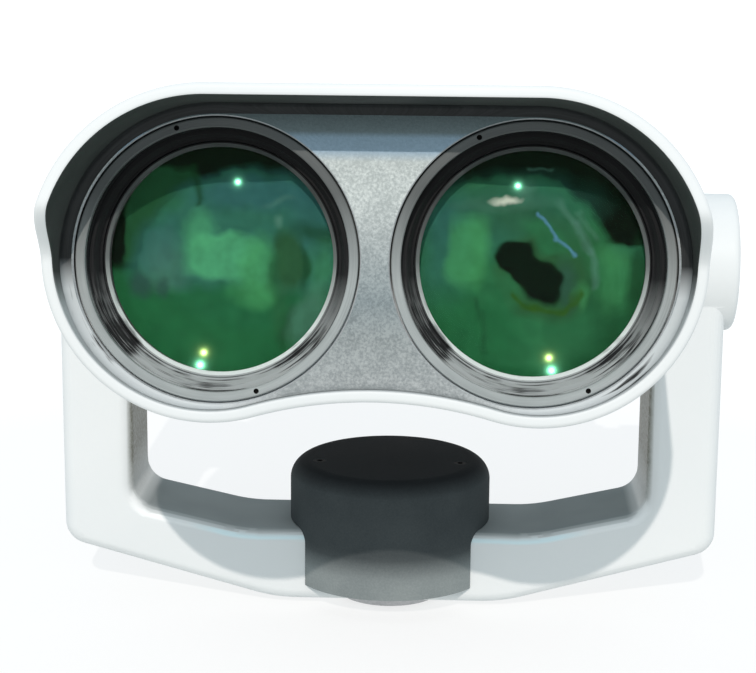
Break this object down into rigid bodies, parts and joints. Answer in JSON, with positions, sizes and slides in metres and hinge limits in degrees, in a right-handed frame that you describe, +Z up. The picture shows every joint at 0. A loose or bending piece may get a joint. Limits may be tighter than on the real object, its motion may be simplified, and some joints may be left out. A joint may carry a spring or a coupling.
{
  "type": "giant binoculars",
  "caption": "Giant observation binoculars: a hooded twin-objective head tilting in a white U yoke that pans on a covered hub above a bolted base flange.",
  "frame": {"origin": "pan axis at the underside of the base flange", "axes": "+Z up along the pan axis, +X to the right of a viewer facing the objectives, objectives look along -Y"},
  "size_m": [0.389, 0.4757, 0.3271],
  "materials": {
    "white_paint": "satin",
    "hub_black": "satin",
    "plate_silver": "satin",
    "ring_aluminium": "brushed",
    "machined_steel": "satin",
    "steel_screws": "satin",
    "dark_screws": "satin",
    "bronze": "satin",
    "black_anodised": "matte",
    "coated_glass": "polished",
    "prism_glass": "polished",
    "rubber_black": "matte",
    "friction_lining": "matte"
  },
  "bodies": {
    "base": {"base_flange": "machined_steel", "pan_spindle": "machined_steel", "pan_thrust_washer": "bronze", "pan_lock_washer": "steel_screws", "pan_nut": "steel_screws"},
    "yoke_body": {"yoke": "white_paint", "pan_bush_lower": "bronze", "pan_bush_upper": "bronze", "hub_cover": "hub_black", "hub_cover_screws": "dark_screws", "trunnion_bush_left": "bronze", "trunnion_bush_right": "bronze", "trunnion_cap_left": "white_paint", "trunnion_cap_right": "white_paint"},
    "head": {"housing": "white_paint", "hood": "white_paint", "hood_screws": "steel_screws", "front_plate": "plate_silver", "plate_screws": "steel_screws", "bezel_ring_left": "ring_aluminium", "bezel_ring_right": "ring_aluminium", "lens_cell_left": "black_anodised", "lens_cell_right": "black_anodised", "retaining_ring_left": "ring_aluminium", "retaining_ring_right": "ring_aluminium", "objective_crown_left": "coated_glass", "objective_crown_right": "coated_glass", "lens_spacer_left": "black_anodised", "lens_spacer_right": "black_anodised", "objective_flint_left": "coated_glass", "objective_flint_right": "coated_glass", "prism_plate": "ring_aluminium", "prism_plate_screws": "steel_screws", "prism_inner_left": "prism_glass", "prism_inner_right": "prism_glass", "prism_outer_left": "prism_glass", "prism_outer_right": "prism_glass", "rear_gasket": "rubber_black", "rear_cover": "white_paint", "rear_cover_screws": "steel_screws", "trunnion_left": "machined_steel", "trunnion_right": "machined_steel", "trunnion_screws": "steel_screws", "friction_disc_left": "friction_lining", "friction_disc_right": "friction_lining", "trunnion_keepers": "machined_steel", "keeper_screws": "steel_screws", "eyepiece_tube_left": "ring_aluminium", "eyepiece_tube_right": "ring_aluminium", "focus_keepers": "ring_aluminium"},
    "focus_left": {"focus_ring_left": "black_anodised"},
    "focus_right": {"focus_ring_right": "black_anodised"},
    "eyepiece_left": {"eyepiece_barrel_left": "black_anodised", "eye_lens_left": "coated_glass", "eyecup_left": "rubber_black"},
    "eyepiece_right": {"eyepiece_barrel_right": "black_anodised", "eye_lens_right": "coated_glass", "eyecup_right": "rubber_black"}
  },
  "joints": [
    {"name": "pan", "type": "hinge", "parent": "base", "child": "yoke_body", "pos_m": [0, 0, 0.045], "axis": [0, 0, 1], "continuous": true},
    {"name": "tilt", "type": "hinge", "parent": "yoke_body", "child": "head", "pos_m": [0, 0, 0.201], "axis": [1, 0, 0], "range_deg": [-15.4, 29.6]},
    {"name": "focus_turn_left", "type": "hinge", "parent": "head", "child": "focus_left", "pos_m": [-0.032, 0.12808, 0.21889], "axis": [0, 0.986, -0.1668], "range_deg": [-120, 120]},
    {"name": "focus_turn_right", "type": "hinge", "parent": "head", "child": "focus_right", "pos_m": [0.032, 0.12808, 0.21889], "axis": [0, 0.986, -0.1668], "range_deg": [-120, 120]},
    {"name": "eyepiece_slide_left", "type": "slide", "parent": "head", "child": "eyepiece_left", "axis": [0, 0.986, -0.1668], "range_m": [-0.004, 0.004]},
    {"name": "eyepiece_slide_right", "type": "slide", "parent": "head", "child": "eyepiece_right", "axis": [0, 0.986, -0.1668], "range_m": [-0.004, 0.004]}
  ],
  "couplings": [
    {"joint": "eyepiece_slide_left", "follows": "focus_turn_left", "m_per_rad": 0.0019},
    {"joint": "eyepiece_slide_right", "follows": "focus_turn_right", "m_per_rad": 0.0019}
  ]
}
